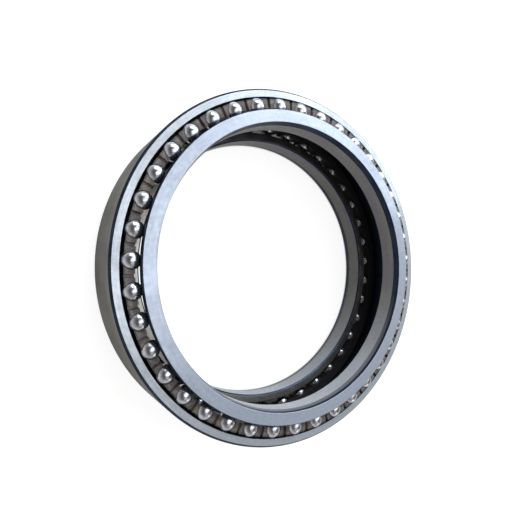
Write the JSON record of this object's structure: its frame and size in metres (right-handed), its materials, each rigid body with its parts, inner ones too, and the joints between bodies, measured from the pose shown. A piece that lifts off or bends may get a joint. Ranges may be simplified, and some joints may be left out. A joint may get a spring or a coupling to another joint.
{
  "type": "double-row angular contact ball bearing",
  "caption": "Thin-section ball bearing: one wide outer ring, split inner rings standing proud at both faces, and caged ball rows that roll between them.",
  "frame": {"origin": "centre of the lower inner ring's outward face, on which the bearing lies", "axes": "+Z along the bearing's axis, towards the upper inner ring; X and Y across the bore"},
  "size_m": [0.197, 0.197, 0.0495],
  "materials": {
    "outer_ring": "ground",
    "inner_ring": "ground",
    "ball": "polished",
    "cage": "moulded"
  },
  "bodies": {
    "outer_ring": {"outer_ring": "outer_ring"},
    "upper_inner_ring": {"upper_inner_ring": "inner_ring"},
    "lower_inner_ring": {"lower_inner_ring": "inner_ring"},
    "upper_cage": {"upper_cage": "cage"},
    "lower_cage": {"lower_cage": "cage", "lower_balls": "ball"},
    "upper_ball_01": {"upper_ball_01": "ball"},
    "upper_ball_02": {"upper_ball_02": "ball"},
    "upper_ball_03": {"upper_ball_03": "ball"},
    "upper_ball_04": {"upper_ball_04": "ball"},
    "upper_ball_05": {"upper_ball_05": "ball"},
    "upper_ball_06": {"upper_ball_06": "ball"},
    "upper_ball_07": {"upper_ball_07": "ball"},
    "upper_ball_08": {"upper_ball_08": "ball"},
    "upper_ball_09": {"upper_ball_09": "ball"},
    "upper_ball_10": {"upper_ball_10": "ball"},
    "upper_ball_11": {"upper_ball_11": "ball"},
    "upper_ball_12": {"upper_ball_12": "ball"},
    "upper_ball_13": {"upper_ball_13": "ball"},
    "upper_ball_14": {"upper_ball_14": "ball"},
    "upper_ball_15": {"upper_ball_15": "ball"},
    "upper_ball_16": {"upper_ball_16": "ball"},
    "upper_ball_17": {"upper_ball_17": "ball"},
    "upper_ball_18": {"upper_ball_18": "ball"},
    "upper_ball_19": {"upper_ball_19": "ball"},
    "upper_ball_20": {"upper_ball_20": "ball"},
    "upper_ball_21": {"upper_ball_21": "ball"},
    "upper_ball_22": {"upper_ball_22": "ball"},
    "upper_ball_23": {"upper_ball_23": "ball"},
    "upper_ball_24": {"upper_ball_24": "ball"},
    "upper_ball_25": {"upper_ball_25": "ball"},
    "upper_ball_26": {"upper_ball_26": "ball"},
    "upper_ball_27": {"upper_ball_27": "ball"},
    "upper_ball_28": {"upper_ball_28": "ball"},
    "upper_ball_29": {"upper_ball_29": "ball"},
    "upper_ball_30": {"upper_ball_30": "ball"},
    "upper_ball_31": {"upper_ball_31": "ball"},
    "upper_ball_32": {"upper_ball_32": "ball"},
    "upper_ball_33": {"upper_ball_33": "ball"},
    "upper_ball_34": {"upper_ball_34": "ball"},
    "upper_ball_35": {"upper_ball_35": "ball"},
    "upper_ball_36": {"upper_ball_36": "ball"},
    "upper_ball_37": {"upper_ball_37": "ball"},
    "upper_ball_38": {"upper_ball_38": "ball"},
    "upper_ball_39": {"upper_ball_39": "ball"}
  },
  "joints": [
    {"name": "upper_inner_spin", "type": "hinge", "parent": "outer_ring", "child": "upper_inner_ring", "pos_m": [0, 0, 0.0425], "axis": [0, 0, 1], "continuous": true},
    {"name": "lower_inner_spin", "type": "hinge", "parent": "outer_ring", "child": "lower_inner_ring", "pos_m": [0, 0, 0.007], "axis": [0, 0, 1], "continuous": true},
    {"name": "upper_cage_orbit", "type": "hinge", "parent": "outer_ring", "child": "upper_cage", "pos_m": [0, 0, 0.0419], "axis": [0, 0, 1], "continuous": true},
    {"name": "lower_cage_orbit", "type": "hinge", "parent": "outer_ring", "child": "lower_cage", "pos_m": [0, 0, 0.0076], "axis": [0, 0, 1], "continuous": true},
    {"name": "upper_ball_01_spin", "type": "hinge", "parent": "upper_cage", "child": "upper_ball_01", "pos_m": [0.08842, 0.00371, 0.0419], "axis": [0.6422, 0.0269, 0.766], "continuous": true},
    {"name": "upper_ball_02_spin", "type": "hinge", "parent": "upper_cage", "child": "upper_ball_02", "pos_m": [0.08668, 0.01784, 0.0419], "axis": [0.6296, 0.1296, 0.766], "continuous": true},
    {"name": "upper_ball_03_spin", "type": "hinge", "parent": "upper_cage", "child": "upper_ball_03", "pos_m": [0.0827, 0.03152, 0.0419], "axis": [0.6006, 0.2289, 0.766], "continuous": true},
    {"name": "upper_ball_04_spin", "type": "hinge", "parent": "upper_cage", "child": "upper_ball_04", "pos_m": [0.07657, 0.04437, 0.0419], "axis": [0.5562, 0.3223, 0.766], "continuous": true},
    {"name": "upper_ball_05_spin", "type": "hinge", "parent": "upper_cage", "child": "upper_ball_05", "pos_m": [0.06846, 0.05608, 0.0419], "axis": [0.4973, 0.4073, 0.766], "continuous": true},
    {"name": "upper_ball_06_spin", "type": "hinge", "parent": "upper_cage", "child": "upper_ball_06", "pos_m": [0.05858, 0.06634, 0.0419], "axis": [0.4255, 0.4818, 0.766], "continuous": true},
    {"name": "upper_ball_07_spin", "type": "hinge", "parent": "upper_cage", "child": "upper_ball_07", "pos_m": [0.04718, 0.07487, 0.0419], "axis": [0.3427, 0.5438, 0.766], "continuous": true},
    {"name": "upper_ball_08_spin", "type": "hinge", "parent": "upper_cage", "child": "upper_ball_08", "pos_m": [0.03456, 0.08147, 0.0419], "axis": [0.251, 0.5918, 0.766], "continuous": true},
    {"name": "upper_ball_09_spin", "type": "hinge", "parent": "upper_cage", "child": "upper_ball_09", "pos_m": [0.02104, 0.08596, 0.0419], "axis": [0.1528, 0.6244, 0.766], "continuous": true},
    {"name": "upper_ball_10_spin", "type": "hinge", "parent": "upper_cage", "child": "upper_ball_10", "pos_m": [0.00698, 0.08822, 0.0419], "axis": [0.0507, 0.6408, 0.766], "continuous": true},
    {"name": "upper_ball_11_spin", "type": "hinge", "parent": "upper_cage", "child": "upper_ball_11", "pos_m": [-0.00726, 0.0882, 0.0419], "axis": [-0.0528, 0.6406, 0.766], "continuous": true},
    {"name": "upper_ball_12_spin", "type": "hinge", "parent": "upper_cage", "child": "upper_ball_12", "pos_m": [-0.02132, 0.08589, 0.0419], "axis": [-0.1548, 0.6239, 0.766], "continuous": true},
    {"name": "upper_ball_13_spin", "type": "hinge", "parent": "upper_cage", "child": "upper_ball_13", "pos_m": [-0.03482, 0.08136, 0.0419], "axis": [-0.2529, 0.5909, 0.766], "continuous": true},
    {"name": "upper_ball_14_spin", "type": "hinge", "parent": "upper_cage", "child": "upper_ball_14", "pos_m": [-0.04742, 0.07472, 0.0419], "axis": [-0.3444, 0.5427, 0.766], "continuous": true},
    {"name": "upper_ball_15_spin", "type": "hinge", "parent": "upper_cage", "child": "upper_ball_15", "pos_m": [-0.05879, 0.06615, 0.0419], "axis": [-0.427, 0.4804, 0.766], "continuous": true},
    {"name": "upper_ball_16_spin", "type": "hinge", "parent": "upper_cage", "child": "upper_ball_16", "pos_m": [-0.06864, 0.05586, 0.0419], "axis": [-0.4986, 0.4057, 0.766], "continuous": true},
    {"name": "upper_ball_17_spin", "type": "hinge", "parent": "upper_cage", "child": "upper_ball_17", "pos_m": [-0.07671, 0.04413, 0.0419], "axis": [-0.5572, 0.3205, 0.766], "continuous": true},
    {"name": "upper_ball_18_spin", "type": "hinge", "parent": "upper_cage", "child": "upper_ball_18", "pos_m": [-0.0828, 0.03125, 0.0419], "axis": [-0.6014, 0.227, 0.766], "continuous": true},
    {"name": "upper_ball_19_spin", "type": "hinge", "parent": "upper_cage", "child": "upper_ball_19", "pos_m": [-0.08674, 0.01756, 0.0419], "axis": [-0.63, 0.1276, 0.766], "continuous": true},
    {"name": "upper_ball_20_spin", "type": "hinge", "parent": "upper_cage", "child": "upper_ball_20", "pos_m": [-0.08843, 0.00342, 0.0419], "axis": [-0.6423, 0.0248, 0.766], "continuous": true},
    {"name": "upper_ball_21_spin", "type": "hinge", "parent": "upper_cage", "child": "upper_ball_21", "pos_m": [-0.08784, -0.01081, 0.0419], "axis": [-0.638, -0.0785, 0.766], "continuous": true},
    {"name": "upper_ball_22_spin", "type": "hinge", "parent": "upper_cage", "child": "upper_ball_22", "pos_m": [-0.08497, -0.02476, 0.0419], "axis": [-0.6171, -0.1798, 0.766], "continuous": true},
    {"name": "upper_ball_23_spin", "type": "hinge", "parent": "upper_cage", "child": "upper_ball_23", "pos_m": [-0.07989, -0.03807, 0.0419], "axis": [-0.5803, -0.2765, 0.766], "continuous": true},
    {"name": "upper_ball_24_spin", "type": "hinge", "parent": "upper_cage", "child": "upper_ball_24", "pos_m": [-0.07275, -0.05039, 0.0419], "axis": [-0.5284, -0.366, 0.766], "continuous": true},
    {"name": "upper_ball_25_spin", "type": "hinge", "parent": "upper_cage", "child": "upper_ball_25", "pos_m": [-0.06373, -0.06141, 0.0419], "axis": [-0.4629, -0.446, 0.766], "continuous": true},
    {"name": "upper_ball_26_spin", "type": "hinge", "parent": "upper_cage", "child": "upper_ball_26", "pos_m": [-0.05305, -0.07084, 0.0419], "axis": [-0.3853, -0.5145, 0.766], "continuous": true},
    {"name": "upper_ball_27_spin", "type": "hinge", "parent": "upper_cage", "child": "upper_ball_27", "pos_m": [-0.041, -0.07843, 0.0419], "axis": [-0.2978, -0.5696, 0.766], "continuous": true},
    {"name": "upper_ball_28_spin", "type": "hinge", "parent": "upper_cage", "child": "upper_ball_28", "pos_m": [-0.02789, -0.08399, 0.0419], "axis": [-0.2026, -0.61, 0.766], "continuous": true},
    {"name": "upper_ball_29_spin", "type": "hinge", "parent": "upper_cage", "child": "upper_ball_29", "pos_m": [-0.01406, -0.08738, 0.0419], "axis": [-0.1021, -0.6346, 0.766], "continuous": true},
    {"name": "upper_ball_30_spin", "type": "hinge", "parent": "upper_cage", "child": "upper_ball_30", "pos_m": [0.00014, -0.0885, 0.0419], "axis": [0.001, -0.6428, 0.766], "continuous": true},
    {"name": "upper_ball_31_spin", "type": "hinge", "parent": "upper_cage", "child": "upper_ball_31", "pos_m": [0.01434, -0.08733, 0.0419], "axis": [0.1041, -0.6343, 0.766], "continuous": true},
    {"name": "upper_ball_32_spin", "type": "hinge", "parent": "upper_cage", "child": "upper_ball_32", "pos_m": [0.02816, -0.0839, 0.0419], "axis": [0.2045, -0.6094, 0.766], "continuous": true},
    {"name": "upper_ball_33_spin", "type": "hinge", "parent": "upper_cage", "child": "upper_ball_33", "pos_m": [0.04125, -0.0783, 0.0419], "axis": [0.2996, -0.5687, 0.766], "continuous": true},
    {"name": "upper_ball_34_spin", "type": "hinge", "parent": "upper_cage", "child": "upper_ball_34", "pos_m": [0.05328, -0.07067, 0.0419], "axis": [0.387, -0.5132, 0.766], "continuous": true},
    {"name": "upper_ball_35_spin", "type": "hinge", "parent": "upper_cage", "child": "upper_ball_35", "pos_m": [0.06392, -0.0612, 0.0419], "axis": [0.4643, -0.4445, 0.766], "continuous": true},
    {"name": "upper_ball_36_spin", "type": "hinge", "parent": "upper_cage", "child": "upper_ball_36", "pos_m": [0.07291, -0.05016, 0.0419], "axis": [0.5296, -0.3643, 0.766], "continuous": true},
    {"name": "upper_ball_37_spin", "type": "hinge", "parent": "upper_cage", "child": "upper_ball_37", "pos_m": [0.08002, -0.03781, 0.0419], "axis": [0.5812, -0.2746, 0.766], "continuous": true},
    {"name": "upper_ball_38_spin", "type": "hinge", "parent": "upper_cage", "child": "upper_ball_38", "pos_m": [0.08504, -0.02448, 0.0419], "axis": [0.6177, -0.1778, 0.766], "continuous": true},
    {"name": "upper_ball_39_spin", "type": "hinge", "parent": "upper_cage", "child": "upper_ball_39", "pos_m": [0.08787, -0.01053, 0.0419], "axis": [0.6382, -0.0765, 0.766], "continuous": true}
  ],
  "couplings": [
    {"joint": "upper_cage_orbit", "follows": "upper_inner_spin", "ratio": 0.47939},
    {"joint": "lower_cage_orbit", "follows": "lower_inner_spin", "ratio": 0.47939},
    {"joint": "upper_ball_01_spin", "follows": "upper_inner_spin", "ratio": -9.2755},
    {"joint": "upper_ball_02_spin", "follows": "upper_inner_spin", "ratio": -9.2755},
    {"joint": "upper_ball_03_spin", "follows": "upper_inner_spin", "ratio": -9.2755},
    {"joint": "upper_ball_04_spin", "follows": "upper_inner_spin", "ratio": -9.2755},
    {"joint": "upper_ball_05_spin", "follows": "upper_inner_spin", "ratio": -9.2755},
    {"joint": "upper_ball_06_spin", "follows": "upper_inner_spin", "ratio": -9.2755},
    {"joint": "upper_ball_07_spin", "follows": "upper_inner_spin", "ratio": -9.2755},
    {"joint": "upper_ball_08_spin", "follows": "upper_inner_spin", "ratio": -9.2755},
    {"joint": "upper_ball_09_spin", "follows": "upper_inner_spin", "ratio": -9.2755},
    {"joint": "upper_ball_10_spin", "follows": "upper_inner_spin", "ratio": -9.2755},
    {"joint": "upper_ball_11_spin", "follows": "upper_inner_spin", "ratio": -9.2755},
    {"joint": "upper_ball_12_spin", "follows": "upper_inner_spin", "ratio": -9.2755},
    {"joint": "upper_ball_13_spin", "follows": "upper_inner_spin", "ratio": -9.2755},
    {"joint": "upper_ball_14_spin", "follows": "upper_inner_spin", "ratio": -9.2755},
    {"joint": "upper_ball_15_spin", "follows": "upper_inner_spin", "ratio": -9.2755},
    {"joint": "upper_ball_16_spin", "follows": "upper_inner_spin", "ratio": -9.2755},
    {"joint": "upper_ball_17_spin", "follows": "upper_inner_spin", "ratio": -9.2755},
    {"joint": "upper_ball_18_spin", "follows": "upper_inner_spin", "ratio": -9.2755},
    {"joint": "upper_ball_19_spin", "follows": "upper_inner_spin", "ratio": -9.2755},
    {"joint": "upper_ball_20_spin", "follows": "upper_inner_spin", "ratio": -9.2755},
    {"joint": "upper_ball_21_spin", "follows": "upper_inner_spin", "ratio": -9.2755},
    {"joint": "upper_ball_22_spin", "follows": "upper_inner_spin", "ratio": -9.2755},
    {"joint": "upper_ball_23_spin", "follows": "upper_inner_spin", "ratio": -9.2755},
    {"joint": "upper_ball_24_spin", "follows": "upper_inner_spin", "ratio": -9.2755},
    {"joint": "upper_ball_25_spin", "follows": "upper_inner_spin", "ratio": -9.2755},
    {"joint": "upper_ball_26_spin", "follows": "upper_inner_spin", "ratio": -9.2755},
    {"joint": "upper_ball_27_spin", "follows": "upper_inner_spin", "ratio": -9.2755},
    {"joint": "upper_ball_28_spin", "follows": "upper_inner_spin", "ratio": -9.2755},
    {"joint": "upper_ball_29_spin", "follows": "upper_inner_spin", "ratio": -9.2755},
    {"joint": "upper_ball_30_spin", "follows": "upper_inner_spin", "ratio": -9.2755},
    {"joint": "upper_ball_31_spin", "follows": "upper_inner_spin", "ratio": -9.2755},
    {"joint": "upper_ball_32_spin", "follows": "upper_inner_spin", "ratio": -9.2755},
    {"joint": "upper_ball_33_spin", "follows": "upper_inner_spin", "ratio": -9.2755},
    {"joint": "upper_ball_34_spin", "follows": "upper_inner_spin", "ratio": -9.2755},
    {"joint": "upper_ball_35_spin", "follows": "upper_inner_spin", "ratio": -9.2755},
    {"joint": "upper_ball_36_spin", "follows": "upper_inner_spin", "ratio": -9.2755},
    {"joint": "upper_ball_37_spin", "follows": "upper_inner_spin", "ratio": -9.2755},
    {"joint": "upper_ball_38_spin", "follows": "upper_inner_spin", "ratio": -9.2755},
    {"joint": "upper_ball_39_spin", "follows": "upper_inner_spin", "ratio": -9.2755}
  ]
}
